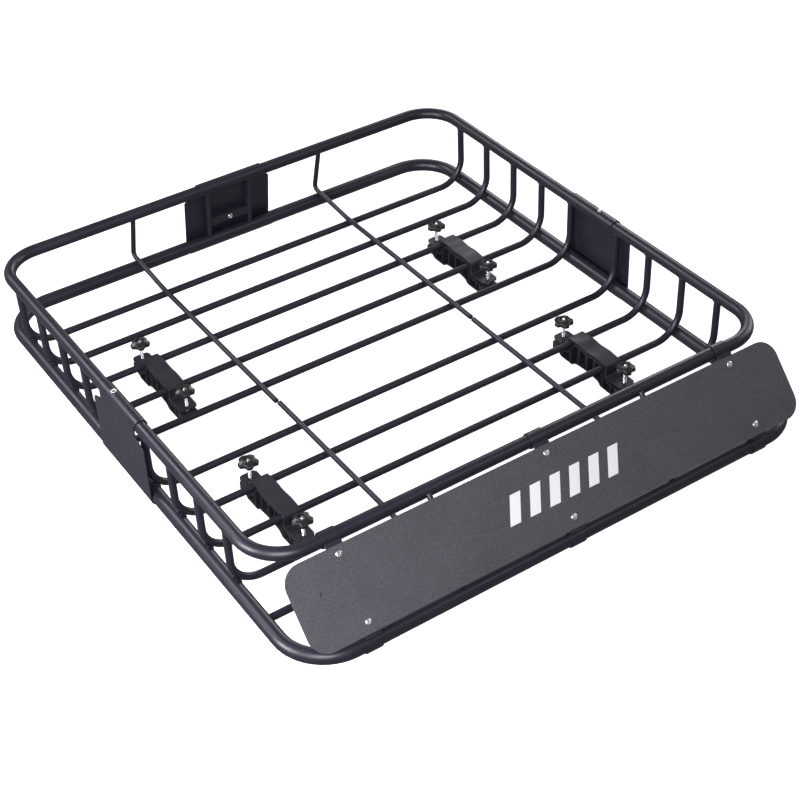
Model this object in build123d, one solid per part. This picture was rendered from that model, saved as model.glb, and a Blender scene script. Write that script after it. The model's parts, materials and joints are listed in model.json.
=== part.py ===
"""Roof cargo basket: a welded steel-tube tray with a wind fairing and four roof-bar clamps.

+X is the vehicle's right, -Y its front, +Z up. The origin is under the middle of the
basket, at the level of the clamp blocks' feet. All sizes are in millimetres.
"""

import os
from math import acos, asin, atan, atan2, cos, degrees, hypot, radians, sin, sqrt, tan

from build123d import *

# ---- rail loops: centre lines of the tubes ----
RAIL_HALF_WIDTH = 483.0      # both loops, along X
LOWER_HALF_LENGTH = 545.25   # lower loop, along Y
UPPER_REAR_Y = 525.5
UPPER_FRONT_Y = -442.0
JOINT_Y = 8.75               # where the front half plugs into the rear half
BAR_Z = 45.0
LOWER_Z = BAR_Z + 3.2
UPPER_Z = LOWER_Z + 127.8
UPPER_CORNER = 72.0
LOWER_CORNER = 82.0

# ---- tubes and rods ----
UPPER_R = 11.0
LOWER_R = 12.5
BAR_R = 6.35
ROD_R = 4.75
RAIL_WALL = 1.5
BAR_WALL = 1.2
WELD_GAP = 0.05              # room left between round surfaces that are welded

# ---- crossbars ----
BAR_PITCH = 89.6
JOINT_TO_BAR = 66.8          # from the joint to the nearest bar, either way
REAR_BARS = 5
FRONT_BARS = 4

# ---- long rods that lie on the crossbars ----
ROD_X = {"rear": (-208.0, 204.5), "front": (-206.0, 204.0)}
ROD_Z = BAR_Z + BAR_R + ROD_R + 0.02
ROD_BEND = {"rear": 9.0, "front": 18.0}
ROD_LEAN = 16.0              # degrees the rear uprights lean in
ROD_FOOT_OUT = 15.25         # the rear uprights' bends, from the lower rail's centre
ROD_FOOT_UP = 19.0
ROD_FROM_PANEL = 0.3         # between the front uprights and the fairing
ROD_TIP = -4.0               # the front uprights' tops, along the panel
ROD_GAP = 8.0

# ---- plates ----
PLATE_T = 2.0
SIDE_PLATE_LENGTH = 181.0
SIDE_TAB_LENGTH = 124.0
REAR_PLATE_LENGTH = 187.0
REAR_TAB_LENGTH = 138.0
SHOULDER_DROP = 14.0         # the plates' corners, below the upper rail's centre
SHOULDER_CUT = 12.0
SHOULDER_ROUND = 6.0
TAB_SWEEP = 175.0
HOOK_SWEEP = 110.0
SLEEVE_LENGTH = 90.0
LEFT_SCREW_Y = JOINT_Y + 31.0
RIGHT_SCREW_Y = JOINT_Y - 18.0
REAR_PLATE_X = -1.8
PLATE_ROD_X = -4.0           # the middle of the two short rods behind it
PLATE_ROD_APART = 91.0
STRIP_Z = 91.0
STRIP_HEIGHT = 19.0

# ---- screws ----
HEAD_R = 5.3
HEAD_H = 3.2
SHANK_R = 2.5

# ---- wind fairing ----
CLIP_T = 2.05
CLIP_WIDTH = 27.0
CLIP_X = 376.5
PANEL_T = 1.5
PANEL_LENGTH = 944.0
PANEL_TOP = -14.0            # along the panel, from the upper rail's centre
PANEL_BOTTOM = -151.0
PANEL_CORNER = 32.0
UPPER_STANDOFF = UPPER_R + WELD_GAP + CLIP_T
LOWER_STANDOFF = 22.6
SIDE_SCREW_LENGTH = 16.0
SCREW_FROM_UPPER = 27.2
SCREW_FROM_LOWER = 30.1
CLIP_TAB_END = 9.0           # tab beyond the screw
CLIP_ARM = 7.0               # where the two ends leave the loop, from its middle
PANEL_HEAD_R = 5.5
PANEL_SCREW_LENGTH = 14.0
NUT_R = 4.6
NUT_H = 4.0
SLOT_X = -425.6              # a small slot near the left end
SLOT_UP = -68.0
SLOT_LENGTH = 7.0
SLOT_WIDTH = 1.8
SLOT_TURN = 60.0

# ---- clamps ----
CLAMP_X = {                  # each clamp's middle; they were never set out exactly
    "rear_left": -327.0,
    "rear_right": 324.0,
    "front_left": -331.0,
    "front_right": 325.0,
}
CLAMP_WIDTH = 33.0
BLOCK_WIDTH = 30.0
BOLT_Y = 86.0
EAR_END = 97.0
EAR_CORNER = 8.0
BOLT_HOLE_R = 3.3

# strap: a saddle with a hump over each crossbar's inner side and a dip between them
STRAP_T = 3.0
STRAP_LIFT = 0.3             # between its underside and the crossbars
STRAP_SIDE_GAP = 0.85
STRAP_HUMP_Y = 20.0
STRAP_HUMP = 2.2             # the hump's height over the part above the bars
STRAP_DIP = 0.4
STRAP_BEND = 5.0
STRAP_FOOT_BEND = 4.0        # inside, where the side turns out into the ear
STRAP_EAR_TOP = 31.5
SLOT_RUN = 6.0               # the ears' slots, from centre to centre

# block: ribbed on both sides
BLOCK_EAR_TOP = 20.0
BLOCK_EAR_BOTTOM = 5.0
BLOCK_ARCH = 10.0
BLOCK_FOOT_IN = 40.0
BLOCK_HUMP = 3.2             # its two humps and the valley between, over the bars' centres
BLOCK_VALLEY = -1.5
WEB_T = 3.0
RIB_T = 2.0
RIB_SIDE = 3                 # ribs each side of the middle one
RIB_PITCH = 22.0
RIB_LEAN = 2.5               # degrees more for each rib from the middle
NOTCH_R = BAR_R + 0.3        # in the block, round each crossbar

# bolts and knobs
BOLT_R = 3.0
BOLT_TOP = 69.5
BOLT_HEAD_R = 5.5
BOLT_HEAD_H = 3.5
RUNNING = 0.05               # radial clearance of a running fit
INSERT_R = 5.0
INSERT_H = 10.0
FLANGE_R = 7.0
FLANGE_T = 1.5
KNOB_BOTTOM = 56.0
KNOB_HEIGHT = 14.5
KNOB_R = 18.0
KNOB_COLLAR_R = 9.0
KNOB_SHOULDER = 13.3         # the lobes' top, at the collar
KNOB_RIM = 9.0               # the lobes' top, at their tips
KNOB_HUB_H = 2.5
SCALLOP_R = 8.0              # hollows between the knob's lobes
SCALLOP_AT = 22.0
LOBE_ROUND = 3.0
LOBES = 5
RECESS_R = 7.0

PARTS = {}


def add(name, shape, color):
    """Keep one sub-part under its node name."""
    shape.label = name
    shape.color = Color(*color)
    PARTS[name] = shape


BLACK = (0.05, 0.05, 0.06)
GREY = (0.2, 0.2, 0.22)
SILVER = (0.75, 0.75, 0.78)
BRASS = (0.7, 0.6, 0.3)


def rod_between(start, end, radius):
    """A round bar from one point to another."""
    start, end = Vector(*start), Vector(*end)
    plane = Plane(origin=start, z_dir=end - start)
    return extrude(plane * Circle(radius), (end - start).length)


def swept(path, radius):
    """A round bar along a path."""
    section = Plane(origin=path @ 0, z_dir=path % 0) * Circle(radius)
    return sweep(section, path=path)


def tube(path, radius, wall):
    """A round tube along a path, with open ends."""
    return swept(path, radius) - swept(path, radius - wall)


def cylinder_z(x, y, z_low, z_high, radius):
    """An upright cylinder."""
    return Pos(x, y, z_low) * extrude(Circle(radius), z_high - z_low)


def joined(shapes):
    """Separate solids that are kept in one node."""
    return Compound(children=list(shapes))


# ---------------------------------------------------------------- rails
def rail_path(end_y, z, corner):
    """Half of a rail loop: from the joint round the two corners and back."""
    x = RAIL_HALF_WIDTH
    points = [(-x, JOINT_Y, z), (-x, end_y, z), (x, end_y, z), (x, JOINT_Y, z)]
    return FilletPolyline(*points, radius=corner)


def side_screw_hole(side, radius):
    """The drilling for a joint plate's screw, down through the upper rail's top wall."""
    y = LEFT_SCREW_Y if side < 0 else RIGHT_SCREW_Y
    return cylinder_z(side * RAIL_HALF_WIDTH, y, UPPER_Z, UPPER_Z + 20, radius)


def make_rails():
    """The four half loops and the sleeves that join them inside."""
    drilled = side_screw_hole(-1, SHANK_R) + side_screw_hole(1, SHANK_R)
    for half, end_y in (("rear", UPPER_REAR_Y), ("front", UPPER_FRONT_Y)):
        rail = tube(rail_path(end_y, UPPER_Z, UPPER_CORNER), UPPER_R, RAIL_WALL)
        add(f"upper_rail_{half}", rail - drilled, BLACK)
    for half, sign in (("rear", 1), ("front", -1)):
        path = rail_path(sign * LOWER_HALF_LENGTH, LOWER_Z, LOWER_CORNER)
        add(f"lower_rail_{half}", tube(path, LOWER_R, RAIL_WALL), BLACK)

    sleeves = []
    for side in (-1, 1):
        for z, rail_r in ((UPPER_Z, UPPER_R), (LOWER_Z, LOWER_R)):
            x = side * RAIL_HALF_WIDTH
            start = (x, JOINT_Y - SLEEVE_LENGTH / 2, z)
            end = (x, JOINT_Y + SLEEVE_LENGTH / 2, z)
            outer = rail_r - RAIL_WALL - WELD_GAP
            sleeve = rod_between(start, end, outer) - rod_between(start, end, outer - RAIL_WALL)
            sleeves.append(sleeve - drilled)
    add("rail_joint_sleeves", joined(sleeves), GREY)


def upper_rail_core():
    """Both sides and both ends of the upper loop, solid, for coping what is welded to it."""
    x = RAIL_HALF_WIDTH
    core = []
    for side in (-1, 1):
        core.append(rod_between((side * x, UPPER_FRONT_Y, UPPER_Z), (side * x, UPPER_REAR_Y, UPPER_Z), UPPER_R))
    for y in (UPPER_FRONT_Y, UPPER_REAR_Y):
        core.append(rod_between((-x, y, UPPER_Z), (x, y, UPPER_Z), UPPER_R))
    return core


# ---------------------------------------------------------------- crossbars and rods
def bar_bend():
    """Bend radius at which a bar's outside just meets the lower rail's inner top."""
    reach = LOWER_R + BAR_R + WELD_GAP
    rise = LOWER_Z - BAR_Z
    # R^2 + (R - rise)^2 = (R + reach)^2, solved for R
    b = rise + reach
    return b + sqrt(b * b + reach * reach - rise * rise)


def make_crossbars():
    """Nine U-shaped bars, and a straight one near the front."""
    x = RAIL_HALF_WIDTH
    left, right = upper_rail_core()[:2]
    offsets = [JOINT_TO_BAR + i * BAR_PITCH for i in range(REAR_BARS)]
    rear = [JOINT_Y + offset for offset in reversed(offsets)]
    front = [JOINT_Y - offset for offset in offsets[:FRONT_BARS]]
    for number, y in enumerate(rear + front, start=1):
        points = [(-x, y, UPPER_Z), (-x, y, BAR_Z), (x, y, BAR_Z), (x, y, UPPER_Z)]
        bar = tube(FilletPolyline(*points, radius=bar_bend()), BAR_R, BAR_WALL)
        bar = (bar - left - right).solids().sort_by(SortBy.VOLUME)[-1]
        add(f"crossbar_{number}", bar, BLACK)

    y = front[-1] - BAR_PITCH
    ends = ((-x, y, BAR_Z), (x, y, BAR_Z))
    straight = rod_between(*ends, BAR_R) - rod_between(*ends, BAR_R - BAR_WALL)
    for side in (-1, 1):
        start = (side * x, y - 40, LOWER_Z)
        end = (side * x, y + 40, LOWER_Z)
        straight = straight - rod_between(start, end, LOWER_R)
    add("crossbar_front", straight.solids().sort_by(SortBy.VOLUME)[-1], BLACK)


def rod_corners(half):
    """A long rod's line from the joint to its top, as (y, z) corners."""
    if half == "front":
        # over the lower rail and up behind the fairing
        panel = fairing_plane().offset(-ROD_R - ROD_FROM_PANEL)
        top = panel.from_local_coords((0, ROD_TIP, 0))
        run = (top.Z - ROD_Z) / panel.y_dir.Z
        foot_y = top.Y - run * panel.y_dir.Y
        return [(JOINT_Y - ROD_GAP / 2, ROD_Z), (foot_y, ROD_Z), (top.Y, top.Z)]
    # over the lower rail and back in under the upper one
    foot = (LOWER_HALF_LENGTH + ROD_FOOT_OUT, LOWER_Z + ROD_FOOT_UP)
    top = (foot[0] - (UPPER_Z - foot[1]) * tan(radians(ROD_LEAN)), UPPER_Z)
    last_bar = JOINT_Y + JOINT_TO_BAR + (REAR_BARS - 1) * BAR_PITCH
    return [(JOINT_Y + ROD_GAP / 2, ROD_Z), (last_bar, ROD_Z), foot, top]


def make_long_rods():
    """Two rods that lie on the crossbars, each in two lengths, turned up to the upper rail."""
    front_end, rear_end = upper_rail_core()[2:]
    for half, core in (("rear", rear_end), ("front", front_end)):
        corners = rod_corners(half)
        for side_name, x in zip(("left", "right"), ROD_X[half]):
            points = [(x, y, z) for y, z in corners]
            rod = swept(FilletPolyline(*points, radius=ROD_BEND[half]), ROD_R)
            tip = rod.faces().sort_by(Axis.Z)[-1]
            rod = fillet(tip.edges(), ROD_R * 0.5)
            rod = (rod - core).solids().sort_by(SortBy.VOLUME)[-1]
            add(f"long_rod_{half}_{side_name}", rod, BLACK)


# ---------------------------------------------------------------- plates
def ring_sector(radius, start, sweep_angle, thickness):
    """A strip bent round the origin, as a sketch in XY; angles in degrees."""
    inner, outer = radius, radius + thickness
    end = start + sweep_angle
    mid = (start + end) / 2

    def at(r, a):
        return (r * cos(radians(a)), r * sin(radians(a)))

    edges = [
        ThreePointArc(at(outer, start), at(outer, mid), at(outer, end)),
        Line(at(outer, end), at(inner, end)),
        ThreePointArc(at(inner, end), at(inner, mid), at(inner, start)),
        Line(at(inner, start), at(outer, start)),
    ]
    return make_face(edges)


def plate_solid(plane, upper, lower, length, tab_length):
    """A plate outside two rails, rolled over the upper one and hooked under the lower one.

    plane is the section through the plate's middle: its x axis points out of the
    basket and its y axis up. upper and lower are the rails' centres in that section.
    """
    upper_in = UPPER_R + WELD_GAP
    lower_in = LOWER_R + WELD_GAP
    dx, dz = upper[0] - lower[0], upper[1] - lower[1]
    # the plate's outward normal: it lies on the line that touches both rails
    lean = degrees(atan2(dz, dx) - acos((upper_in - lower_in) / hypot(dx, dz)))
    normal = Vector(cos(radians(lean)), sin(radians(lean)))

    def off(centre, distance):
        return Vector(*centre) + normal * distance

    flat = make_face(Polyline(
        off(upper, upper_in),
        off(upper, upper_in + PLATE_T),
        off(lower, lower_in + PLATE_T),
        off(lower, lower_in),
        close=True,
    ))
    roll = Pos(*upper) * ring_sector(upper_in, lean, TAB_SWEEP, PLATE_T)
    hook = Pos(*lower) * ring_sector(lower_in, lean - HOOK_SWEEP, HOOK_SWEEP, PLATE_T)
    body = extrude(plane * (flat + hook), length / 2, both=True)
    tab = extrude(plane * (flat + roll), tab_length / 2, both=True)

    # beside the tab the plate stops below the upper rail, with cut corners
    shoulder = upper[1] - SHOULDER_DROP
    outline = Polyline(
        (-length / 2, 0),
        (length / 2, 0),
        (length / 2, shoulder - SHOULDER_CUT),
        (tab_length / 2, shoulder),
        (-tab_length / 2, shoulder),
        (-length / 2, shoulder - SHOULDER_CUT),
        close=True,
    )
    outline = make_face(outline)
    shoulders = outline.vertices().filter_by(lambda v: 0 < v.Y and abs(v.X) > tab_length / 2 + 1)
    outline = fillet(shoulders, SHOULDER_ROUND)
    along = Plane(origin=plane.origin, x_dir=plane.z_dir, z_dir=plane.z_dir.cross(Vector(0, 0, 1)))
    return (body & extrude(along * outline, 2 * RAIL_HALF_WIDTH, both=True)) + tab


def plate_screw(x, y, z, length):
    """A domed screw that points down, its head resting at z."""
    head = Pos(x, y, z) * extrude(Circle(HEAD_R), HEAD_H)
    head = fillet(head.edges().sort_by(Axis.Z)[-1], HEAD_H * 0.6)
    return head + cylinder_z(x, y, z - length, z, SHANK_R - WELD_GAP)


def make_plates():
    """The plates over the two side joints and the one in the middle of the rear."""
    rails = ((RAIL_HALF_WIDTH, UPPER_Z), (RAIL_HALF_WIDTH, LOWER_Z))
    screws = []
    for name, side, y in (("left", -1, LEFT_SCREW_Y), ("right", 1, RIGHT_SCREW_Y)):
        plane = Plane(origin=(0, JOINT_Y, 0), x_dir=(side, 0, 0), z_dir=(0, -side, 0))
        plate = plate_solid(plane, *rails, SIDE_PLATE_LENGTH, SIDE_TAB_LENGTH)
        add(f"side_plate_{name}", plate - side_screw_hole(side, SHANK_R), BLACK)
        seat = UPPER_Z + UPPER_R + WELD_GAP + PLATE_T
        screws.append(plate_screw(side * RAIL_HALF_WIDTH, y, seat, SIDE_SCREW_LENGTH))
    add("side_plate_screws", joined(screws), SILVER)

    plane = Plane(origin=(REAR_PLATE_X, 0, 0), x_dir=(0, 1, 0), z_dir=(1, 0, 0))
    ends = ((UPPER_REAR_Y, UPPER_Z), (LOWER_HALF_LENGTH, LOWER_Z))
    add("rear_plate", plate_solid(plane, *ends, REAR_PLATE_LENGTH, REAR_TAB_LENGTH), BLACK)

    # two short rods from rail to rail inside the rear plate, and a strip between them
    lean = (UPPER_REAR_Y - LOWER_HALF_LENGTH) / (UPPER_Z - LOWER_Z)
    lower_core = rod_between((-200, LOWER_HALF_LENGTH, LOWER_Z), (200, LOWER_HALF_LENGTH, LOWER_Z), LOWER_R)
    upper_core = rod_between((-200, UPPER_REAR_Y, UPPER_Z), (200, UPPER_REAR_Y, UPPER_Z), UPPER_R)
    rods = []
    for side in (-1, 1):
        x = PLATE_ROD_X + side * PLATE_ROD_APART / 2
        rod = rod_between((x, LOWER_HALF_LENGTH, LOWER_Z), (x, UPPER_REAR_Y, UPPER_Z), ROD_R)
        rods.append(rod - lower_core - upper_core)
    add("rear_plate_rods", joined(rods), BLACK)

    strip_y = LOWER_HALF_LENGTH + lean * (STRIP_Z - LOWER_Z)
    facing = (0, -cos(atan(lean)), sin(atan(lean)))
    strip_plane = Plane(origin=(PLATE_ROD_X, strip_y, STRIP_Z), x_dir=(1, 0, 0), z_dir=facing)
    strip_length = PLATE_ROD_APART - 2 * ROD_R
    strip = extrude(strip_plane * Rectangle(strip_length, STRIP_HEIGHT), PLATE_T)
    strip = strip - extrude(strip_plane * Circle(SHANK_R), PLATE_T)
    add("rear_bracket_strip", strip, BLACK)
    head = extrude(strip_plane.offset(PLATE_T) * Circle(HEAD_R), HEAD_H)
    shank = extrude(strip_plane.offset(PLATE_T) * Circle(SHANK_R - WELD_GAP), -10)
    nut = extrude(strip_plane * (RegularPolygon(4.6, 6) - Circle(SHANK_R)), -4)
    add("rear_bracket_screw", joined([head + shank, nut]), SILVER)


# ---------------------------------------------------------------- wind fairing
def fairing_plane():
    """The panel's back face: origin level with the upper rail, x right, y up the panel."""
    dy = -LOWER_HALF_LENGTH - UPPER_FRONT_Y
    dz = LOWER_Z - UPPER_Z
    span = hypot(dy, dz)
    down = atan2(dz, dy)
    # the standoffs differ, so the panel turns a little from the line between the rails
    turn = asin((LOWER_STANDOFF - UPPER_STANDOFF) / span)
    up = down - turn + radians(180)
    along = Vector(0, cos(up), sin(up))
    normal = Vector(1, 0, 0).cross(along)
    origin = Vector(0, UPPER_FRONT_Y, UPPER_Z) + normal * UPPER_STANDOFF
    return Plane(origin=origin, x_dir=(1, 0, 0), z_dir=normal)


def lower_rail_foot():
    """How far down the panel the lower rail lies, from the upper rail."""
    span = hypot(LOWER_HALF_LENGTH + UPPER_FRONT_Y, UPPER_Z - LOWER_Z)
    return sqrt(span ** 2 - (LOWER_STANDOFF - UPPER_STANDOFF) ** 2)


def clip(panel, x, foot, rail_r, standoff, screw_up):
    """A strap bent round a rail, its two ends stacked behind the panel.

    foot is the rail's place down the panel, and screw_up the screw's, both signed up.
    """
    origin = panel.from_local_coords((x, 0, 0))
    section = Plane(origin=origin, x_dir=panel.y_dir, z_dir=panel.x_dir)
    ring_r = rail_r + WELD_GAP + CLIP_T
    side = 1 if screw_up > foot else -1
    arm = foot + side * CLIP_ARM
    tab_end = screw_up + side * CLIP_TAB_END
    ring = Pos(foot, -standoff) * Circle(ring_r)
    tab = Pos((arm + tab_end) / 2, -CLIP_T) * Rectangle(abs(tab_end - arm), 2 * CLIP_T)
    neck = Pos(arm + side * CLIP_T, -standoff / 2) * Rectangle(2 * CLIP_T, standoff)
    outline = ring + tab + neck - Pos(foot, -standoff) * Circle(rail_r + WELD_GAP)
    solid = extrude(section * outline, CLIP_WIDTH / 2, both=True)
    hole = panel.offset(-3 * CLIP_T) * Pos(x, screw_up) * Circle(SHANK_R)
    return solid - extrude(hole, 4 * CLIP_T)


def make_fairing():
    """The leaning panel, the straps that hold it to the front rails, and its screws."""
    panel = fairing_plane()
    foot = -lower_rail_foot()
    rows = (
        ("upper", 0.0, UPPER_R, UPPER_STANDOFF, -SCREW_FROM_UPPER),
        ("lower", foot, LOWER_R, LOWER_STANDOFF, foot + SCREW_FROM_LOWER),
    )
    places = [(x, row[4]) for row in rows for x in (-CLIP_X, 0, CLIP_X)]

    centre = (PANEL_TOP + PANEL_BOTTOM) / 2
    outline = Pos(0, centre) * RectangleRounded(PANEL_LENGTH, PANEL_TOP - PANEL_BOTTOM, PANEL_CORNER)
    for x, up in places:
        outline = outline - Pos(x, up) * Circle(SHANK_R)
    outline = outline - Pos(SLOT_X, SLOT_UP) * Rot(0, 0, SLOT_TURN) * SlotOverall(SLOT_LENGTH, SLOT_WIDTH)
    add("fairing_panel", extrude(panel * outline, PANEL_T), GREY)

    for row, at, rail_r, standoff, screw_up in rows:
        clips = [clip(panel, x, at, rail_r, standoff, screw_up) for x in (-CLIP_X, 0, CLIP_X)]
        add(f"fairing_clips_{row}", joined(clips), BLACK)

    front = panel.offset(PANEL_T)
    back = panel.offset(-2 * CLIP_T)
    screws, nuts = [], []
    for x, up in places:
        head = extrude(front * Pos(x, up) * Circle(PANEL_HEAD_R), HEAD_H)
        shank = extrude(front * Pos(x, up) * Circle(SHANK_R - WELD_GAP), -PANEL_SCREW_LENGTH)
        screws.append(head + shank)
        nuts.append(extrude(back * Pos(x, up) * (RegularPolygon(NUT_R, 6) - Circle(SHANK_R)), -NUT_H))
    add("fairing_screws", joined(screws), SILVER)
    add("fairing_nuts", joined(nuts), SILVER)


# ---------------------------------------------------------------- clamps
def section_at(x, y):
    """The clamp's own section plane: its x axis along the vehicle, its y axis up."""
    return Plane(origin=(x, y, 0), x_dir=(0, 1, 0), z_dir=(1, 0, 0))


def both_sides(points):
    """An outline given from its right end to the middle, as (y, z), run on to its left end."""
    return points + [(-y, z) for y, z in reversed(points) if y != 0]


def strap_line(offset_z, wall, ear_end, ear_z, bend, foot_bend):
    """One face of the strap, from the right ear's end over both bars to the left one's."""
    over_bar = BAR_Z + BAR_R + STRAP_LIFT + offset_z
    shoulder = wall - bend
    top = both_sides([
        (shoulder, over_bar),
        (STRAP_HUMP_Y, over_bar + STRAP_HUMP),
        (0, over_bar + STRAP_DIP),
    ])
    edges = [Spline(*top, tangents=[(-1, 0.12), (-1, -0.12)])]
    for side, corner_from, foot_from in ((1, 0, 180), (-1, 90, 270)):
        corner = (side * shoulder, over_bar - bend)
        foot = (side * (wall + foot_bend), ear_z + foot_bend)
        edges.append(Line((side * wall, corner[1]), (side * wall, foot[1])))
        edges.append(Line((foot[0], ear_z), (side * ear_end, ear_z)))
        edges.append(CenterArc(corner, bend, corner_from, 90))
        edges.append(CenterArc(foot, foot_bend, foot_from, 90))
    return edges


def strap_solid(x, y):
    """The saddle over two crossbars, with an ear at each end for a bolt."""
    wall = BAR_PITCH / 2 + BAR_R + STRAP_SIDE_GAP
    ear = STRAP_EAR_TOP
    outer = strap_line(STRAP_T, wall + STRAP_T, EAR_END, ear, STRAP_BEND, STRAP_FOOT_BEND)
    inner = strap_line(0, wall, EAR_END, ear - STRAP_T, STRAP_BEND - STRAP_T, STRAP_FOOT_BEND + STRAP_T)
    ends = [Line((side * EAR_END, ear), (side * EAR_END, ear - STRAP_T)) for side in (-1, 1)]
    face = make_face([*outer, *inner, *ends])
    strap = extrude(section_at(x, y) * face, CLAMP_WIDTH / 2, both=True)
    corners = strap.edges().filter_by(Axis.Z).filter_by(lambda e: abs(e.center().Y - y) > EAR_END - 1)
    strap = fillet(corners, EAR_CORNER)
    for side in (-1, 1):
        slot = Pos(x, y + side * (BOLT_Y - SLOT_RUN / 2), 0) * Rot(0, 0, 90)
        strap = strap - slot * extrude(SlotCenterToCenter(SLOT_RUN, 2 * BOLT_HOLE_R), UPPER_Z)
    return strap


def block_face():
    """The lower block's outline, as a sketch: y across and z up."""
    bar_y = BAR_PITCH / 2
    flank = bar_y + BAR_R - 0.5
    side = [
        (bar_y - 5, BAR_Z + 1),
        (flank, BAR_Z),
        (flank, BLOCK_EAR_TOP + 5),
        (flank + 5, BLOCK_EAR_TOP),
        (EAR_END, BLOCK_EAR_TOP),
        (EAR_END, BLOCK_EAR_BOTTOM),
        (BOLT_Y - 7, BLOCK_EAR_BOTTOM),
        (BOLT_Y - 14, 0),
        (BLOCK_FOOT_IN, 0),
        (BLOCK_FOOT_IN - 8, BLOCK_ARCH - 3),
    ]
    edges = [Polyline(*side), Polyline(*[(-y, z) for y, z in side])]
    # two humps with a valley between, and the arch below
    valley = (0, BAR_Z + BLOCK_VALLEY)
    for sign in (-1, 1):
        hump = (sign * STRAP_HUMP_Y, BAR_Z + BLOCK_HUMP)
        edges.append(ThreePointArc((sign * side[0][0], side[0][1]), hump, valley))
    edges.append(ThreePointArc((-side[-1][0], side[-1][1]), (0, BLOCK_ARCH), side[-1]))
    face = make_face(edges)
    for sign in (-1, 1):
        face = face - Pos(sign * bar_y, BAR_Z) * Circle(NOTCH_R)
    return face.faces().sort_by(SortBy.AREA)[-1]


def block_solid(x, y):
    """The ribbed block under two crossbars: a wall all round, a web and cross ribs."""
    face = block_face()
    plane = section_at(x, y)
    block = extrude(plane * face, BLOCK_WIDTH / 2, both=True)

    # open pockets from both sides, between the ribs and short of the bolts
    solid_ear = BOLT_Y - BOLT_HOLE_R - 3 * RIB_T
    inside = offset(face, amount=-RIB_T) & Rectangle(2 * solid_ear, 3 * BAR_Z)
    for i in range(-RIB_SIDE, RIB_SIDE + 1):
        rib = Pos(i * RIB_PITCH, BAR_Z / 2) * Rot(0, 0, RIB_LEAN * i) * Rectangle(RIB_T, 3 * BAR_Z)
        inside = inside - rib
    for side in (-1, 1):
        side_plane = plane.offset(side * BLOCK_WIDTH / 2)
        block = block - extrude(side_plane * inside, -side * (BLOCK_WIDTH - WEB_T) / 2)
    for side in (-1, 1):
        bolt_y = y + side * BOLT_Y
        block = block - cylinder_z(x, bolt_y, 0, UPPER_Z, BOLT_HOLE_R)
        block = block - cylinder_z(x, bolt_y, 0, BLOCK_EAR_BOTTOM + BOLT_HEAD_H + 1, BOLT_HEAD_R + 0.6)
    return block


def bolt_solid(x, y):
    """A round-headed bolt that stands up through both ears."""
    head_z = BLOCK_EAR_BOTTOM + 1
    head = cylinder_z(x, y, head_z, head_z + BOLT_HEAD_H, BOLT_HEAD_R)
    shank = cylinder_z(x, y, head_z, BOLT_TOP, BOLT_R)
    bolt = head + shank
    return chamfer(bolt.edges().sort_by(Axis.Z)[-1], 0.6)


def insert_solid(x, y):
    """The knob's threaded metal core, with a flange under the grip."""
    core = cylinder_z(x, y, KNOB_BOTTOM, KNOB_BOTTOM + INSERT_H, INSERT_R)
    flange = cylinder_z(x, y, KNOB_BOTTOM - FLANGE_T, KNOB_BOTTOM - RUNNING, FLANGE_R)
    flange = flange + cylinder_z(x, y, KNOB_BOTTOM - FLANGE_T, KNOB_BOTTOM, INSERT_R)
    return core + flange - cylinder_z(x, y, 0, UPPER_Z, BOLT_R + RUNNING)


def knob_solid(x, y):
    """The five-lobed grip, sloping down from a collar with a recess where the bolt shows."""
    outline = Circle(KNOB_R)
    for i in range(LOBES):
        outline = outline - Rot(0, 0, i * 360 / LOBES) * Pos(SCALLOP_AT, 0) * Circle(SCALLOP_R)
    outline = fillet(outline.vertices(), LOBE_ROUND)
    hub_r = FLANGE_R + 1.5
    profile = Polyline(
        (0, 0),
        (hub_r, 0),
        (hub_r, KNOB_HUB_H),
        (KNOB_R, KNOB_HUB_H),
        (KNOB_R, KNOB_RIM),
        (KNOB_COLLAR_R, KNOB_SHOULDER),
        (KNOB_COLLAR_R, KNOB_HEIGHT),
        (0, KNOB_HEIGHT),
        close=True,
    )
    turned = revolve(Plane.XZ * make_face(profile), Axis.Z)
    grip = extrude(outline, KNOB_HEIGHT) & turned
    grip = grip - extrude(Circle(INSERT_R + RUNNING), KNOB_HEIGHT)
    grip = grip - Pos(0, 0, INSERT_H) * extrude(Circle(RECESS_R), KNOB_HEIGHT)
    return Pos(x, y, KNOB_BOTTOM) * grip


def make_clamps():
    """Four clamps: each a strap and a block about two crossbars, two bolts and two knobs."""
    rear_y = JOINT_Y + JOINT_TO_BAR + 1.5 * BAR_PITCH
    front_y = JOINT_Y - JOINT_TO_BAR - 1.5 * BAR_PITCH
    for end, y in (("rear", rear_y), ("front", front_y)):
        for side_name in ("left", "right"):
            name = f"{end}_{side_name}"
            x = CLAMP_X[name]
            add(f"{name}_strap", strap_solid(x, y), BLACK)
            add(f"{name}_block", block_solid(x, y), GREY)
            bolts = [bolt_solid(x, y + sign * BOLT_Y) for sign in (-1, 1)]
            add(f"{name}_bolts", joined(bolts), SILVER)
            for place, sign in (("rear", 1), ("front", -1)):
                bolt_y = y + sign * BOLT_Y
                add(f"{name}_insert_{place}", insert_solid(x, bolt_y), BRASS)
                add(f"{name}_knob_{place}", knob_solid(x, bolt_y), BLACK)


def main():
    """Build every sub-part and write one file for each."""
    make_rails()
    make_crossbars()
    make_long_rods()
    make_plates()
    make_fairing()
    make_clamps()
    os.makedirs("parts", exist_ok=True)
    for name, shape in PARTS.items():
        export_step(shape, f"parts/{name}.step")
    print(len(PARTS), "sub-parts written")


main()
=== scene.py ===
"""The roof cargo basket's looks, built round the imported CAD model, in metres.

The CAD nodes keep their shape and get procedural materials. Screws, nuts, threaded bolts
and knobs are replaced by finer meshes, and weld beads are added where tubes meet.
"""

import json
from math import atan2, ceil, cos, pi, radians, sin, sqrt

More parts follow.
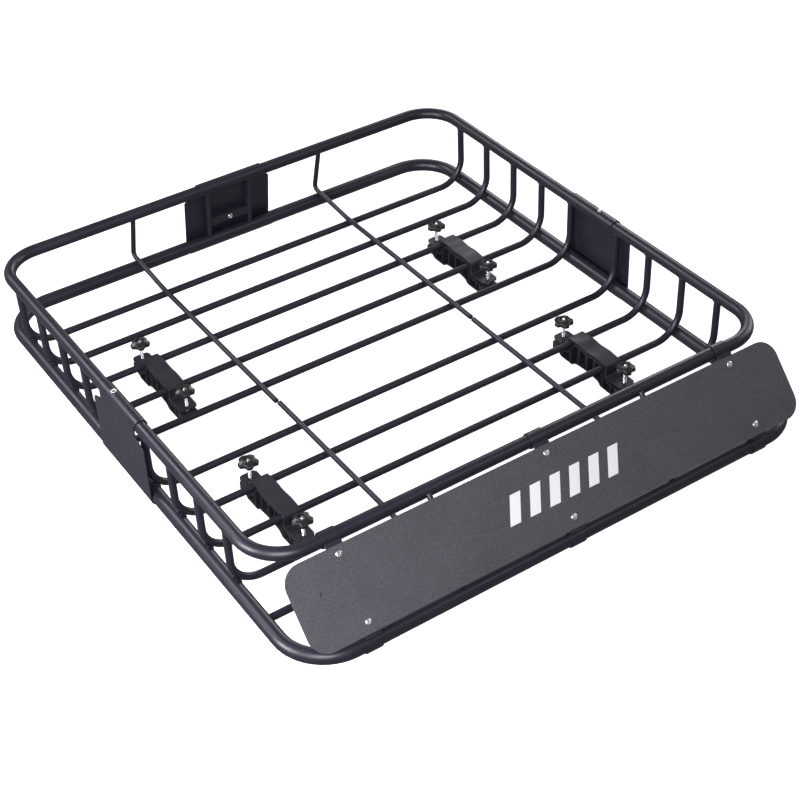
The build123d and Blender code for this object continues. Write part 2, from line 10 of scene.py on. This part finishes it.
import bmesh
import bpy
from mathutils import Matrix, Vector


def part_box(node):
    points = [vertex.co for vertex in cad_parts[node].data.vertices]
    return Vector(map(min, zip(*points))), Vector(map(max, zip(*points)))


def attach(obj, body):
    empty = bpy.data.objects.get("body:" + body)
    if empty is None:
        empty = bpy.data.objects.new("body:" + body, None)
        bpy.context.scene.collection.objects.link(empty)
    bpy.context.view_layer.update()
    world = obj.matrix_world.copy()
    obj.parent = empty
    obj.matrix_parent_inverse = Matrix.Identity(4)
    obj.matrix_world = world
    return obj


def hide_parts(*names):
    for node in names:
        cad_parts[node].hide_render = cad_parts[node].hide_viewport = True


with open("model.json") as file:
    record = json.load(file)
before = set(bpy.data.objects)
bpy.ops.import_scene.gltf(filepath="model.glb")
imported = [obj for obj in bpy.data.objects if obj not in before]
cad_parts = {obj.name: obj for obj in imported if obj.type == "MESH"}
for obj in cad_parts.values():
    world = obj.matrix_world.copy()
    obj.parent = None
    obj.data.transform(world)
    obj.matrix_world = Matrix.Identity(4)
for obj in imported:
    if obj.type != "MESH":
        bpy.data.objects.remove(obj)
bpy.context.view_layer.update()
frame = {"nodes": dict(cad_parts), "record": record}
MM = 0.001
TURN = 2 * pi
UP = Vector((0, 0, 1))


# ---------------------------------------------------------------- camera and studio
WORLD_LIGHT = 0.23
FLOOR_GLOW = 0.75
LIGHTS = (                    # name, place, aim, size in metres, watts
    ("key", (-1.10, -1.25, 0.95), (-0.3, -0.4, 0.1), 0.8, 27),
    ("left", (-1.6, -0.1, 0.7), (-0.4, 0.0, 0.1), 0.7, 34),
    ("front_right", (1.6, -2.5, 2.8), (0, 0, 0.1), 0.45, 8),
    ("rear_left", (-1.7, 2.7, 2.5), (0, 0, 0.1), 1.1, 45),
    ("rear_right", (2.4, 2.2, 1.5), (0, 0, 0.1), 1.4, 30),
    ("right", (2.5, -0.2, 1.0), (0.4, 0, 0.1), 1.2, 22),
)


def make_camera():
    """A long lens to the front left of the basket, looking down at it."""
    data = bpy.data.cameras.new("camera")
    camera = bpy.data.objects.new("camera", data)
    bpy.context.scene.collection.objects.link(camera)
    camera.location = (-1.1830, -1.9437, 1.7783)
    camera.rotation_euler = (radians(51.4228), radians(2.1389), radians(-33.7797))
    data.lens = 72.505
    data.sensor_width = 36.0
    bpy.context.scene.camera = camera


def softbox(name, place, aim, size, power):
    """A square area light that looks at a point."""
    data = bpy.data.lights.new(name, "AREA")
    data.shape = "SQUARE"
    data.size = size
    data.energy = power
    data.color = (0.94, 0.965, 1.0)
    light = bpy.data.objects.new(name, data)
    bpy.context.scene.collection.objects.link(light)
    light.location = place
    light.visible_camera = False
    light.rotation_euler = (Vector(aim) - Vector(place)).to_track_quat("-Z", "Y").to_euler()


def make_studio():
    """A white floor, an even pale surround and the soft lights."""
    world = bpy.data.worlds.new("studio")
    bpy.context.scene.world = world
    world.use_nodes = True
    background = world.node_tree.nodes["Background"]
    background.inputs["Color"].default_value = (1, 1, 1, 1)
    background.inputs["Strength"].default_value = WORLD_LIGHT
    for light in LIGHTS:
        softbox(*light)

    mesh = bpy.data.meshes.new("floor")
    r = 8.0
    mesh.from_pydata([(-r, -r, 0), (r, -r, 0), (r, r, 0), (-r, r, 0)], [], [(0, 1, 2, 3)])
    floor = bpy.data.objects.new("floor", mesh)
    bpy.context.scene.collection.objects.link(floor)
    floor.location.z = -0.0005
    material = bpy.data.materials.new("floor")
    material.use_nodes = True
    shader = material.node_tree.nodes["Principled BSDF"]
    shader.inputs["Base Color"].default_value = (0.88, 0.88, 0.88, 1)
    shader.inputs["Roughness"].default_value = 0.9
    shader.inputs["Specular IOR Level"].default_value = 0.0
    shader.inputs["Emission Color"].default_value = (1, 1, 1, 1)
    shader.inputs["Emission Strength"].default_value = FLOOR_GLOW
    mesh.materials.append(material)
    # its glow makes it white, and doesn't light the basket from below
    floor.visible_diffuse = False
    floor.visible_glossy = False
    bpy.context.scene.view_settings.view_transform = "Standard"


# ---------------------------------------------------------------- materials
class Surface:
    """A material that is built one node at a time."""

    def __init__(self, name, metallic=0.0, specular=0.5):
        self.material = bpy.data.materials.new(name)
        self.material.use_nodes = True
        self.tree = self.material.node_tree
        self.shader = self.tree.nodes["Principled BSDF"]
        self.shader.inputs["Metallic"].default_value = metallic
        self.shader.inputs["Specular IOR Level"].default_value = specular
        self.place = self.tree.nodes.new("ShaderNodeTexCoord").outputs["Object"]

    def put(self, socket, value):
        """Link a socket to another node's output, or set it to a value."""
        if isinstance(value, bpy.types.NodeSocket):
            self.tree.links.new(value, socket)
        else:
            socket.default_value = value

    def node(self, kind, output=0, settings=(), **inputs):
        """Add a node and return one of its outputs. Inputs are named as in Blender, in lower case."""
        node = self.tree.nodes.new(kind)
        for key, value in dict(settings).items():
            setattr(node, key, value)
        for socket in node.inputs:
            key = socket.name.lower().replace(" ", "_")
            if key in inputs and socket.enabled:
                self.put(socket, inputs.pop(key))
        return node.outputs[output]

    def math(self, operation, a, b=0.0, c=0.0):
        node = self.tree.nodes.new("ShaderNodeMath")
        node.operation = operation
        for socket, value in zip(node.inputs, (a, b, c)):
            self.put(socket, value)
        return node.outputs[0]

    def noise(self, scale, detail=2.0, vector=None, roughness=0.5):
        return self.node("ShaderNodeTexNoise", vector=vector or self.place, scale=scale, detail=detail,
                         roughness=roughness)

    def spread(self, value, low, high, to_low=0.0, to_high=1.0):
        """A value from one range brought to another, clamped."""
        node = self.tree.nodes.new("ShaderNodeMapRange")
        settings = {"Value": value, "From Min": low, "From Max": high, "To Min": to_low, "To Max": to_high}
        for key, setting in settings.items():
            self.put(node.inputs[key], setting)
        return node.outputs[0]

    def mix(self, factor, a, b):
        """Two colours mixed by a factor."""
        node = self.tree.nodes.new("ShaderNodeMix")
        node.data_type = "RGBA"
        for index, value in ((0, factor), (6, a), (7, b)):
            self.put(node.inputs[index], value)
        return node.outputs[2]

    def edges(self, radius):
        """(rounded normal, 0 to 1 mask that is high along sharp edges)."""
        node = self.tree.nodes.new("ShaderNodeBevel")
        node.samples = 4
        node.inputs["Radius"].default_value = radius
        normal = self.tree.nodes.new("ShaderNodeNewGeometry").outputs["Normal"]
        dot = self.tree.nodes.new("ShaderNodeVectorMath")
        dot.operation = "DOT_PRODUCT"
        self.put(dot.inputs[0], node.outputs[0])
        self.put(dot.inputs[1], normal)
        return node.outputs[0], self.spread(dot.outputs["Value"], 0.98, 0.80)

    def bump(self, height, distance, strength=1.0, normal=None):
        node = self.tree.nodes.new("ShaderNodeBump")
        node.inputs["Strength"].default_value = strength
        node.inputs["Distance"].default_value = distance
        self.put(node.inputs["Height"], height)
        if normal is not None:
            self.put(node.inputs["Normal"], normal)
        return node.outputs[0]

    def finish(self, colour, roughness, normal):
        self.put(self.shader.inputs["Base Color"], colour)
        self.put(self.shader.inputs["Roughness"], roughness)
        self.put(self.shader.inputs["Normal"], normal)
        return self.material


def rgb(r, g, b):
    return (r, g, b, 1.0)


def coat(name, dark, light, worn, rough, grain, grain_height, blotch=14.0, wear=0.35, specular=0.5, decal=None):
    """Paint or moulded plastic: fine grain, uneven gloss, scuffs, and edges rubbed paler."""
    s = Surface(name, specular=specular)
    round_normal, edge = s.edges(0.5 * MM)
    fine = s.noise(grain, 3.0, roughness=0.6)
    broad = s.noise(blotch, 4.0)
    speck = s.spread(s.noise(grain * 0.6, 1.0), 0.35, 0.68)
    colour = s.mix(s.math("ADD", s.math("MULTIPLY", speck, 0.65), s.math("MULTIPLY", broad, 0.35)), dark, light)
    # short scuffs: a stretched noise, kept where a broad one allows
    stretched = s.node("ShaderNodeMapping", vector=s.place, scale=(260, 60, 260))
    scuff = s.math("MULTIPLY", s.spread(s.noise(1.0, 6.0, stretched), 0.64, 0.74), s.spread(broad, 0.48, 0.62))
    rubbed = s.math("MULTIPLY", edge, s.spread(s.noise(90.0, 4.0), 0.42, 0.62))
    rub = s.math("MULTIPLY", s.math("MAXIMUM", rubbed, s.math("MULTIPLY", scuff, 0.5)), wear)
    colour = s.mix(rub, colour, worn)
    gloss = s.spread(s.math("ADD", broad, s.math("MULTIPLY", s.noise(220.0, 3.0), 0.4)), 0.45, 0.95, *rough)
    gloss = s.math("ADD", gloss, s.math("MULTIPLY", rub, 0.25))
    if decal:
        mark = decal(s)
        colour = s.mix(mark, colour, rgb(0.78, 0.78, 0.78))
    normal = s.bump(fine, grain_height, 1.0, round_normal)
    return s.finish(colour, gloss, normal)


def plated(name, bright, dull, rough, lines, streak=(1, 1, 1)):
    """Bare or plated metal: fine turning lines, cloudy tint and faint stains."""
    s = Surface(name, metallic=1.0)
    round_normal, edge = s.edges(0.25 * MM)
    stretched = s.node("ShaderNodeMapping", vector=s.place, scale=streak)
    line = s.noise(lines, 4.0, stretched, 0.7)
    cloud = s.noise(160.0, 5.0)
    colour = s.mix(s.spread(cloud, 0.35, 0.7), bright, dull)
    colour = s.mix(s.math("MULTIPLY", edge, 0.3), colour, rgb(0.9, 0.9, 0.9))
    gloss = s.spread(s.math("ADD", cloud, s.math("MULTIPLY", line, 0.6)), 0.5, 1.1, *rough)
    return s.finish(colour, gloss, s.bump(line, 0.02 * MM, 0.6, round_normal))


# ---------------------------------------------------------------- the fairing's plain stripes
def panel_axes():
    """The fairing's middle, and the unit vectors up it and out of its front."""
    mesh = frame["nodes"]["fairing_panel"].data
    front = max((p for p in mesh.polygons if p.normal.y < -0.3), key=lambda p: p.area)
    out = front.normal.normalized()
    low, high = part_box("fairing_panel")
    middle = (Vector(low) + Vector(high)) / 2
    return middle, out.cross(Vector((1, 0, 0))).normalized(), out


STRIPES = 6
STRIPE_PITCH = 38 * MM
STRIPE_WIDTH = 20 * MM
STRIPE_HEIGHT = 44 * MM
STRIPE_SLANT = 0.45
STRIPE_MIDDLE = 8 * MM


def stripes(s):
    """A mask of plain slanted stripes across the panel's middle."""
    middle, up, out = panel_axes()
    axes = s.tree.nodes.new("ShaderNodeSeparateXYZ")
    s.put(axes.inputs[0], s.place)

    def reach(direction):
        """How far a point lies from the panel's middle in a direction across X."""
        flat = s.math("MULTIPLY", axes.outputs["Y"], direction.y)
        both = s.math("MULTIPLY_ADD", axes.outputs["Z"], direction.z, flat)
        return s.math("SUBTRACT", both, middle.dot(direction))

    height = reach(up)
    front = s.math("GREATER_THAN", reach(out), 0.0)
    across = s.math("SUBTRACT", axes.outputs["X"], s.math("MULTIPLY", height, STRIPE_SLANT))
    across = s.math("SUBTRACT", across, STRIPE_MIDDLE)
    half = STRIPES * STRIPE_PITCH / 2
    phase = s.math("PINGPONG", s.math("ADD", across, half + STRIPE_PITCH), STRIPE_PITCH / 2)
    bars = s.math("GREATER_THAN", phase, (STRIPE_PITCH - STRIPE_WIDTH) / 2)
    inside = s.math("LESS_THAN", s.math("ABSOLUTE", across), half)
    band = s.math("LESS_THAN", s.math("ABSOLUTE", height), STRIPE_HEIGHT / 2)
    return s.math("MULTIPLY", s.math("MULTIPLY", bars, inside), s.math("MULTIPLY", band, front))


def make_materials():
    """One material for each of the record's slots."""
    worn = rgb(0.16, 0.16, 0.165)
    return {
        "powder_coat": coat("powder_coat", rgb(0.008, 0.008, 0.014), rgb(0.016, 0.016, 0.027), worn,
                            (0.30, 0.44), 1300.0, 0.05 * MM, specular=0.45),
        "fairing_coat": coat("fairing_coat", rgb(0.034, 0.034, 0.040), rgb(0.086, 0.087, 0.100), worn,
                             (0.42, 0.58), 900.0, 0.10 * MM, decal=stripes),
        "strap_plastic": coat("strap_plastic", rgb(0.010, 0.010, 0.015), rgb(0.018, 0.018, 0.026), worn,
                              (0.34, 0.52), 2200.0, 0.04 * MM, blotch=40.0, wear=0.2),
        "block_plastic": coat("block_plastic", rgb(0.011, 0.011, 0.015), rgb(0.022, 0.022, 0.028), worn,
                              (0.40, 0.60), 2000.0, 0.05 * MM, blotch=40.0, wear=0.2),
        "knob_plastic": coat("knob_plastic", rgb(0.010, 0.010, 0.012), rgb(0.017, 0.017, 0.020), worn,
                             (0.24, 0.40), 2600.0, 0.02 * MM, blotch=50.0, wear=0.15),
        "zinc_steel": plated("zinc_steel", rgb(0.80, 0.81, 0.83), rgb(0.55, 0.56, 0.60), (0.20, 0.38), 900.0),
        "bare_steel": plated("bare_steel", rgb(0.45, 0.45, 0.46), rgb(0.28, 0.27, 0.27), (0.35, 0.55), 700.0,
                             (6, 1, 6)),
        "brass": plated("brass", rgb(0.80, 0.62, 0.30), rgb(0.52, 0.40, 0.20), (0.25, 0.42), 900.0, (1, 1, 6)),
    }


def paint_nodes(materials):
    """Every CAD node takes the material of its slot in the record."""
    slots = {p["node"]: p["material_slot"] for p in frame["record"]["subparts"]}
    for name, obj in frame["nodes"].items():
        obj.data.materials.clear()
        obj.data.materials.append(materials[slots[name]])


# ---------------------------------------------------------------- mesh tools
def islands(node):
    """The separate solids of a CAD node, each as a list of points, in the same order in every run."""
    mesh = bmesh.new()
    mesh.from_mesh(frame["nodes"][node].data)
    bmesh.ops.remove_doubles(mesh, verts=mesh.verts, dist=0.001 * MM)
    seen = set()
    found = []
    for first in mesh.verts:
        if first in seen:
            continue
        seen.add(first)
        stack = [first]
        points = []
        while stack:
            vert = stack.pop()
            points.append(vert.co.copy())
            for edge in vert.link_edges:
                other = edge.other_vert(vert)
                if other not in seen:
                    seen.add(other)
                    stack.append(other)
        found.append(points)
    mesh.free()
    return found


def along(points, axis):
    """(middle line's foot at height 0, lowest, highest) of points along an axis."""
    heights = [p.dot(axis) for p in points]
    flat = [p - axis * h for p, h in zip(points, heights)]
    low = Vector([min(p[i] for p in flat) for i in range(3)])
    high = Vector([max(p[i] for p in flat) for i in range(3)])
    return (low + high) / 2, min(heights), max(heights)


def grid(rings, closed=False):
    """Vertices and quads of rings of points. closed joins the last ring to the first."""
    around = len(rings[0])
    verts = [p for ring in rings for p in ring]
    faces = []
    for i in range(len(rings) - (0 if closed else 1)):
        a, b = i * around, (i + 1) % len(rings) * around
        for j in range(around):
            k = (j + 1) % around
            faces.append((a + j, a + k, b + k, b + j))
    return verts, faces


def capped(rings):
    """A grid whose first and last rings are closed with a fan."""
    verts, faces = grid(rings)
    around = len(rings[0])
    last = len(verts) - around
    for start, turn in ((0, -1), (last, 1)):
        ring = list(range(start, start + around))
        middle = sum((verts[i] for i in ring), Vector()) / around
        verts.append(middle)
        for j in range(around):
            a, b = ring[j], ring[(j + 1) % around]
            faces.append((a, b, len(verts) - 1)[::turn])
    return verts, faces


def piece(name, parts, material, body, sharp=40.0, subdivide=0):
    """One object from several (vertices, faces), riding on a body."""
    verts, faces = [], []
    for v, f in parts:
        faces += [tuple(i + len(verts) for i in face) for face in f]
        verts += v
    mesh = bpy.data.meshes.new(name)
    mesh.from_pydata(verts, [], faces)
    clean = bmesh.new()
    clean.from_mesh(mesh)
    bmesh.ops.recalc_face_normals(clean, faces=clean.faces)
    clean.to_mesh(mesh)
    clean.free()
    mesh.shade_smooth()
    if sharp:
        mesh.set_sharp_from_angle(angle=radians(sharp))
    mesh.materials.append(material)
    obj = bpy.data.objects.new(name, mesh)
    bpy.context.scene.collection.objects.link(obj)
    if subdivide:
        modifier = obj.modifiers.new("rounding", "SUBSURF")
        modifier.levels = modifier.render_levels = subdivide
    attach(obj, body)
    return obj


def turned(foot, axis, rings_rz, around=48):
    """Rings for a round form about an axis, from (radius, height) pairs or functions of the angle."""
    side = axis.orthogonal().normalized()
    other = axis.cross(side)
    rings = []
    for radius, height in rings_rz:
        ring = []
        for j in range(around):
            t = TURN * j / around
            r = radius(t) if callable(radius) else radius
            h = height(t) if callable(height) else height
            ring.append(foot + side * (r * cos(t)) + other * (r * sin(t)) + axis * h)
        rings.append(ring)
    return rings


# ---------------------------------------------------------------- fasteners
THREAD_AROUND = 20
THREAD_ROWS = 5              # rows of the mesh in one turn of the thread


def thread_rings(radius, pitch, low, high):
    """(radius, height) pairs of a real helical thread: the depth follows the angle."""
    depth = 0.54 * pitch
    count = ceil((high - low) / pitch * THREAD_ROWS)
    pairs = []
    for i in range(count + 1):
        h = low + (high - low) * i / count

        def depth_at(t, h=h):
            wave = abs(((h / pitch - t / TURN) % 1.0) * 2 - 1)
            ends = min(1.0, (h - low) / pitch, (high - h) / pitch)
            return radius - depth * (wave * ends + (1 - ends) * 0.9)

        pairs.append((depth_at, h))
    return pairs


def cross_recess(radius, height, deep, arm):
    """Rings of a domed head with a cross recess, from the rim to the middle."""
    steps = 14
    pairs = []
    for i in range(steps + 1):
        r = radius * (1 - i / steps)

        def top(t, r=r):
            dome = height * (0.42 + 0.58 * sqrt(max(0.0, 1 - (r / radius) ** 2)))
            u, v = abs(r * cos(t)), abs(r * sin(t))
            width, reach = arm * 0.30, arm
            beside = min(max((width - min(u, v)) / (0.12 * arm), 0), 1)
            along_arm = min(max((reach - max(u, v)) / (0.25 * arm), 0), 1)
            return dome - deep * beside * along_arm

        pairs.append((max(r, 0.01 * MM), top))
    return pairs


def cross_screw(points, axis, radius, height, pitch=0.8 * MM):
    """A domed screw with a cross recess and a threaded shank, in place of a plain CAD one."""
    foot, low, high = along(points, axis)
    seat = high - height
    shank = 0.44 * radius
    profile = thread_rings(shank, pitch, low, seat - 0.3 * MM)
    profile += [(shank, seat), (radius * 0.98, seat), (radius, seat + 0.15 * height)]
    recess = cross_recess(radius, height, 0.55 * height, 0.5 * radius)
    head = [(r, (lambda t, top=top: seat + top(t))) for r, top in recess]
    return capped(turned(foot, axis, profile + head, 64))


def hex_nut(points, axis, bore, around=72):
    """A hexagon nut with chamfered corners and a thread seen in its bore."""
    foot, low, high = along(points, axis)
    corner = max((p - axis * p.dot(axis) - foot).length for p in points)
    flat = corner * cos(pi / 6)
    # the corner that lies furthest out sets how the nut is turned
    side = axis.orthogonal().normalized()
    other = axis.cross(side)
    tip = max(points, key=lambda p: (p - axis * p.dot(axis) - foot).length) - foot
    start = atan2(tip.dot(other), tip.dot(side))

    def outline(t):
        return flat / cos((t - start) % (pi / 3) - pi / 6)

    def rise(t):
        return (outline(t) - flat) * 0.55

    profile = [
        (bore, low + 0.4 * MM), (bore + 0.4 * MM, low), (flat * 0.97, low),
        (outline, lambda t: low + rise(t)), (outline, lambda t: high - rise(t)),
        (flat * 0.97, high), (bore + 0.4 * MM, high), (bore, high - 0.4 * MM),
    ]
    return grid(turned(foot, axis, profile, around), closed=True)


SCREW_HEAD_R = 5.3 * MM
PANEL_HEAD_R = 5.5 * MM
HEAD_HEIGHT = 3.2 * MM
NUT_BORE = 2.55 * MM


def bracket_axis():
    """The normal of the bracket strip's broad face, towards the basket's front."""
    mesh = frame["nodes"]["rear_bracket_strip"].data
    face = max(mesh.polygons, key=lambda p: p.area)
    normal = face.normal.normalized()
    return normal if normal.y < 0 else -normal


def make_screws(materials):
    """Screws and nuts of the plates and the fairing."""
    def replace(name, parts, node):
        obj = piece(name, parts, materials["zinc_steel"], "frame")
        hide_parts(node)

    _, _, out = panel_axes()
    tops = [cross_screw(p, UP, SCREW_HEAD_R, HEAD_HEIGHT) for p in islands("side_plate_screws")]
    replace("plate_screws", tops, "side_plate_screws")
    fronts = [cross_screw(p, out, PANEL_HEAD_R, HEAD_HEIGHT) for p in islands("fairing_screws")]
    replace("panel_screws", fronts, "fairing_screws")
    nuts = [hex_nut(p, out, NUT_BORE) for p in islands("fairing_nuts")]
    replace("panel_nuts", nuts, "fairing_nuts")

    # the rear bracket's nut is the shorter of its two solids
    inward = bracket_axis()

    def length(points):
        _, low, high = along(points, inward)
        return high - low

    solids = sorted(islands("rear_bracket_screw"), key=length)
    parts = [hex_nut(solids[0], inward, NUT_BORE),
             cross_screw(solids[-1], inward, SCREW_HEAD_R, HEAD_HEIGHT)]
    replace("bracket_screw", parts, "rear_bracket_screw")


# ---------------------------------------------------------------- clamps
def bolt(points):
    """A clamp's bolt: round head below with a hexagon socket, real thread above."""
    foot, low, high = along(points, UP)
    head_r, head_h, shank, pitch = 5.5 * MM, 3.5 * MM, 3.0 * MM, 1.0 * MM
    socket = 2.0 * MM

    def hexagon(t):
        return socket / cos(t % (pi / 3) - pi / 6)

    profile = [
        (hexagon, low + 1.8 * MM), (hexagon, low + 0.1 * MM), (socket * 1.25, low),
        (head_r * 0.82, low), (head_r * 0.96, low + 0.25 * MM), (head_r, low + 0.8 * MM),
        (head_r, low + head_h - 0.3 * MM), (head_r * 0.95, low + head_h), (shank, low + head_h),
    ]
    profile += thread_rings(shank, pitch, low + head_h + 0.2 * MM, high - 0.3 * MM)
    profile += [(shank * 0.78, high)]
    return capped(turned(foot, UP, profile, THREAD_AROUND * 2))


KNOB_R = 18 * MM
SCALLOP_R = 8 * MM
SCALLOP_AT = 22 * MM
LOBES = 5
KNOB_AROUND = 100


def knob_outline(t):
    """The five-lobed outline: a circle with hollows whose edges are rounded off."""
    turn = (t + pi / LOBES) % (TURN / LOBES) - pi / LOBES
    reach = SCALLOP_AT * cos(turn) - sqrt(max(0.0, SCALLOP_R ** 2 - (SCALLOP_AT * sin(turn)) ** 2))
    drop = KNOB_R - reach
    blend = 1.6 * MM
    h = max(blend - abs(drop), 0.0) / blend
    return KNOB_R - max(drop, 0.0) - h * h * blend / 4


def knob(node):
    """A moulded grip: lobes that slope from a collar, a recess on top and rounded edges."""
    # the lobes' box isn't centred on the bolt, and the round core's is
    low, high = (Vector(v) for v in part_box(node.replace("knob", "insert")))
    middle = (low + high) / 2
    foot = Vector((middle.x, middle.y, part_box(node)[0][2]))

    def top(r):
        return (13.3 - (r / MM - 9) * 0.478) * MM

    def edge(inset, rise):
        return (lambda t: knob_outline(t) - inset * MM, (lambda t: rise * MM) if rise > 0 else
                (lambda t: top(knob_outline(t) - inset * MM) + rise * MM))

    profile = [
        (5.05 * MM, 0.0), (8.1 * MM, 0.0), (8.5 * MM, 0.4 * MM), (8.5 * MM, 2.5 * MM),
        edge(1.4, 2.5), edge(0.35, 2.85), edge(0.0, 3.8), edge(0.0, -1.6), edge(0.4, -0.45), edge(1.5, 0.0),
        (11.0 * MM, top(11.0 * MM)), (9.5 * MM, top(9.5 * MM)), (9.05 * MM, 13.5 * MM), (9.0 * MM, 14.1 * MM),
        (8.6 * MM, 14.5 * MM), (7.4 * MM, 14.5 * MM), (7.0 * MM, 14.1 * MM), (7.0 * MM, 10.1 * MM),
        (6.8 * MM, 10.0 * MM), (5.05 * MM, 10.0 * MM),
    ]
    rings = []
    for radius, height in profile:
        ring = []
        for j in range(KNOB_AROUND):
            t = TURN * j / KNOB_AROUND
            r = radius(t) if callable(radius) else radius
            h = height(t) if callable(height) else height
            ring.append(foot + Vector((r * cos(t), r * sin(t), h)))
        rings.append(ring)
    return grid(rings, closed=True)


def make_clamps(materials):
    """The clamps' threaded bolts and lobed grips."""
    for end in ("rear", "front"):
        for side in ("left", "right"):
            clamp = f"{end}_{side}"
            bolts = [bolt(p) for p in islands(f"{clamp}_bolts")]
            obj = piece(f"{clamp}_threaded_bolts", bolts, materials["zinc_steel"],
                        f"{clamp}_lower")
            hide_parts(f"{clamp}_bolts")
            for place in ("rear", "front"):
                node = f"{clamp}_knob_{place}"
                obj = piece(f"{clamp}_grip_{place}_lobed", [knob(node)], materials["knob_plastic"],
                            f"{clamp}_grip_{place}", sharp=0, subdivide=1)
                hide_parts(node)


# ---------------------------------------------------------------- welds
RIPPLE = 1.7 * MM            # from one ripple of a bead to the next


def bead(points, radius, closed=False, around=8):
    """A weld bead along a line: a tube with ripples, thinner at its open ends."""
    count = len(points)
    rings = []
    run = 0.0
    for i, point in enumerate(points):
        before = points[i - 1] if i or closed else point
        after = points[(i + 1) % count] if i < count - 1 or closed else point
        forward = (after - before).normalized()
        side = forward.orthogonal().normalized()
        other = forward.cross(side)
        run += (point - before).length
        taper = 1.0 if closed else min(1.0, 0.35 + 4.0 * min(i, count - 1 - i) / count)
        r = radius * taper * (1 + 0.13 * sin(TURN * run / RIPPLE) + 0.06 * sin(TURN * run / (4.3 * RIPPLE)))
        rings.append([point + (side * cos(TURN * j / around) + other * sin(TURN * j / around)) * r
                      for j in range(around)])
    return grid(rings, closed=True) if closed else capped(rings)


def rail_line(node):
    """(half width, centre height, tube radius) of a rail loop."""
    low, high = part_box(node)
    radius = (high[2] - low[2]) / 2
    return high[0] - radius, (low[2] + high[2]) / 2, radius


def make_welds(materials):
    """Beads where the crossbars, rods and plates meet the rails and each other."""
    paint = materials["powder_coat"]
    rail_x, rail_z, rail_r = rail_line("upper_rail_rear")
    foot_x, foot_z, foot_r = rail_line("lower_rail_rear")
    bars = []
    for number in range(1, 10):
        low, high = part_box(f"crossbar_{number}")
        bars.append(((low[1] + high[1]) / 2, (high[1] - low[1]) / 2, low[2]))
    bar_r = bars[0][1]

    upper, lower = [], []
    steps = 72
    for y, r, floor in bars:
        for side in (-1, 1):
            ring = []
            for i in range(steps):
                t = TURN * i / steps
                dx, dy = (r + 0.4 * MM) * cos(t), (r + 0.4 * MM) * sin(t)
                z = rail_z - sqrt(rail_r ** 2 - dx * dx) - 0.3 * MM
                ring.append(Vector((side * rail_x + dx, y + dy, z)))
            upper.append(bead(ring, 1.3 * MM, closed=True))
            # two short beads in the hollows beside the bar, where its bend touches the lower rail
            for sign in (-1, 1):
                line = []
                for i in range(15):
                    t = radians(100 + 70 * i / 14)
                    reach = foot_r + 0.5 * MM
                    x, z = foot_x + reach * cos(t), foot_z + reach * sin(t)
                    line.append(Vector((side * x, y + sign * r * 0.72, z)))
                lower.append(bead(line, 1.6 * MM))
    piece("welds_under_upper_rails", upper, paint, "frame", sharp=0)
    piece("welds_on_lower_rails", lower, paint, "frame", sharp=0)

    # spots where the long rods lie on the crossbars
    spots = []
    for half in ("rear", "front"):
        for side in ("left", "right"):
            low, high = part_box(f"long_rod_{half}_{side}")
            x, r = (low[0] + high[0]) / 2, (high[0] - low[0]) / 2
            for y, _, floor in bars:
                if low[1] < y - bar_r and y + bar_r < high[1]:
                    top = floor + 2 * bar_r
                    for sign in (-1, 1):
                        line = [Vector((x + sign * r * 0.62, y + bar_r * 0.5 * (i / 5 - 1), top + 0.2 * MM))
                                for i in range(11)]
                        spots.append(bead(line, 1.1 * MM))
    piece("welds_on_long_rods", spots, paint, "frame", sharp=0)

    # the seams along the plates' foot, on the lower rails
    seams = []
    for node in ("side_plate_left", "side_plate_right"):
        low, high = (Vector(v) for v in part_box(node))
        side = -1 if low.x < 0 else 1
        for start in (low.y + 14 * MM, (low.y + high.y) / 2 - 15 * MM, high.y - 44 * MM):
            x, z = side * (foot_x - foot_r * 0.30), foot_z - foot_r * 0.99
            line = [Vector((x, start + i * MM, z)) for i in range(31)]
            seams.append(bead(line, 1.2 * MM))
    piece("welds_on_plates", seams, paint, "frame", sharp=0)


# ---------------------------------------------------------------- run
make_camera()
make_studio()
materials = make_materials()
paint_nodes(materials)
make_screws(materials)
make_clamps(materials)
make_welds(materials)
